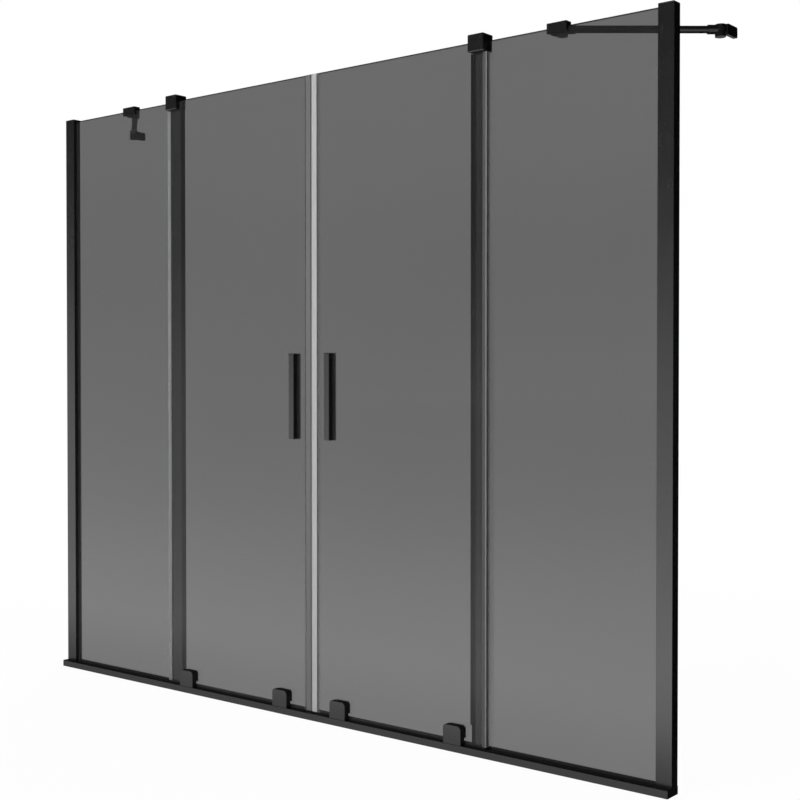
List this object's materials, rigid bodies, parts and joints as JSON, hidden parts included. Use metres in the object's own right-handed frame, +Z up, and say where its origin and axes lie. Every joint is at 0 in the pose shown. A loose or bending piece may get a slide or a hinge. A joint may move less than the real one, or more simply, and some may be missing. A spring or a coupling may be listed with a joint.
{
  "type": "sliding shower screen",
  "caption": "Sliding shower screen: tinted fixed side panes and doors that roll apart on a bottom rail, with black wall profiles, handles and braces to the walls.",
  "frame": {"origin": "middle of the bottom rail's underside", "axes": "+X along the rail to the right seen from the room, +Y into the shower, +Z up"},
  "size_m": [1.84, 0.2956, 1.5075],
  "materials": {
    "black_metal": "satin black powder coat",
    "black_plastic": "matt black",
    "black_rubber": "matt",
    "tinted_glass": "polished, grey tint",
    "clear_seal": "clear, softly frosted",
    "magnet": "matt",
    "dark_steel": "blackened",
    "steel": "ground",
    "nylon": "turned"
  },
  "bodies": {
    "frame": {"bottom_rail": "black_metal", "track_stops": "black_rubber", "fixing_screws": "dark_steel", "rail_end_left": "black_plastic", "rail_end_right": "black_plastic", "wall_channel_left": "black_metal", "wall_channel_right": "black_metal", "glazing_profile_left": "black_metal", "glazing_profile_right": "black_metal", "profile_cap_left": "black_plastic", "profile_cap_right": "black_plastic", "fixed_glass_left": "tinted_glass", "fixed_glass_right": "tinted_glass", "glazing_gasket_left": "black_rubber", "glazing_gasket_right": "black_rubber", "edge_seal_left": "black_rubber", "edge_seal_right": "black_rubber", "guide_block_left": "black_metal", "guide_block_right": "black_metal", "guide_liner_left": "black_plastic", "guide_liner_right": "black_plastic", "bar_clamp_left": "black_metal", "bar_clamp_right": "black_metal", "support_bar_left": "black_metal", "support_bar_right": "black_metal", "bar_bracket_left": "black_metal", "bar_bracket_right": "black_metal"},
    "door_left": {"door_glass_left": "tinted_glass", "handle_front_left": "black_metal", "handle_rear_left": "black_metal", "handle_bolts_left": "dark_steel", "magnetic_seal_left": "clear_seal", "magnet_strip_left": "magnet", "outer_seal_left": "clear_seal", "bottom_seal_left": "black_rubber", "trolley_inner_left": "black_metal", "trolley_outer_left": "black_metal", "trolley_pads_left": "black_rubber", "trolley_back_plates_left": "black_metal", "trolley_screws_left": "dark_steel", "roller_axles_left": "steel"},
    "door_right": {"door_glass_right": "tinted_glass", "handle_front_right": "black_metal", "handle_rear_right": "black_metal", "handle_bolts_right": "dark_steel", "magnetic_seal_right": "clear_seal", "magnet_strip_right": "magnet", "outer_seal_right": "clear_seal", "bottom_seal_right": "black_rubber", "trolley_inner_right": "black_metal", "trolley_outer_right": "black_metal", "trolley_pads_right": "black_rubber", "trolley_back_plates_right": "black_metal", "trolley_screws_right": "dark_steel", "roller_axles_right": "steel"},
    "wheel_inner_left": {"roller_inner_left": "nylon"},
    "wheel_outer_left": {"roller_outer_left": "nylon"},
    "wheel_inner_right": {"roller_inner_right": "nylon"},
    "wheel_outer_right": {"roller_outer_right": "nylon"}
  },
  "joints": [
    {"name": "door_left_slide", "type": "slide", "parent": "frame", "child": "door_left", "axis": [-1, 0, 0], "range_m": [0, 0.38]},
    {"name": "door_right_slide", "type": "slide", "parent": "frame", "child": "door_right", "axis": [1, 0, 0], "range_m": [0, 0.38]},
    {"name": "wheel_inner_left_roll", "type": "hinge", "parent": "door_left", "child": "wheel_inner_left", "pos_m": [-0.091, -0.0146, 0.0233], "axis": [0, -1, 0], "range_deg": [0, 1816]},
    {"name": "wheel_outer_left_roll", "type": "hinge", "parent": "door_left", "child": "wheel_outer_left", "pos_m": [-0.416, -0.0146, 0.0233], "axis": [0, -1, 0], "range_deg": [0, 1816]},
    {"name": "wheel_inner_right_roll", "type": "hinge", "parent": "door_right", "child": "wheel_inner_right", "pos_m": [0.091, -0.0146, 0.0233], "axis": [0, 1, 0], "range_deg": [0, 1816]},
    {"name": "wheel_outer_right_roll", "type": "hinge", "parent": "door_right", "child": "wheel_outer_right", "pos_m": [0.416, -0.0146, 0.0233], "axis": [0, 1, 0], "range_deg": [0, 1816]}
  ],
  "couplings": [
    {"joint": "wheel_inner_left_roll", "follows": "door_left_slide", "rad_per_m": 83.333},
    {"joint": "wheel_outer_left_roll", "follows": "door_left_slide", "rad_per_m": 83.333},
    {"joint": "wheel_inner_right_roll", "follows": "door_right_slide", "rad_per_m": 83.333},
    {"joint": "wheel_outer_right_roll", "follows": "door_right_slide", "rad_per_m": 83.333}
  ]
}
